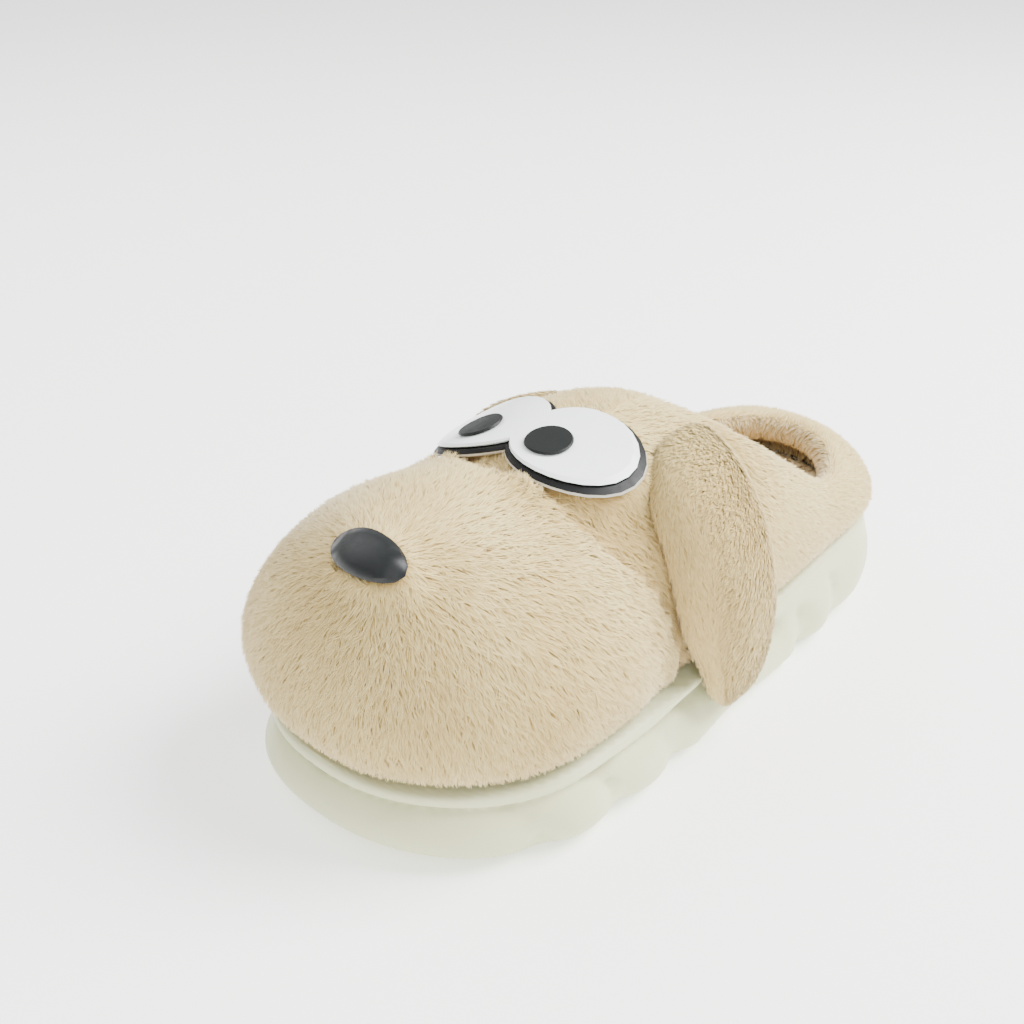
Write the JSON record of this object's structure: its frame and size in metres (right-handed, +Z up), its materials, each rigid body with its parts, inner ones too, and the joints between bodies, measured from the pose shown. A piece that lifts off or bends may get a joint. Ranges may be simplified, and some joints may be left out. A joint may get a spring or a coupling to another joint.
{
  "type": "animal slipper",
  "caption": "Closed-toe plush slipper shaped like a dog's head, with hanging ears, a domed face plate, an open padded collar and a thick puffy foam sole.",
  "frame": {"origin": "on the floor, under the middle of the slipper's bounding box", "axes": "+Z up, -Y towards the toe, +X towards the outer (lateral) side, the wearer's left"},
  "size_m": [0.1356, 0.2714, 0.1099],
  "materials": {
    "eva_foam": "satin moulded EVA foam, off-white",
    "plush": "short deep-pile plush, beige",
    "lining": "short-pile plush sock lining, tan",
    "black_plastic": "semi-gloss, charcoal",
    "white_plastic": "glossy, white"
  },
  "bodies": {
    "root": {"sole": "eva_foam", "upper": "plush", "insole": "lining", "ear_left": "plush", "ear_right": "plush", "eye_backing": "black_plastic", "eye_white": "white_plastic", "pupil_left": "black_plastic", "pupil_right": "black_plastic", "nose": "black_plastic"}
  },
  "joints": []
}
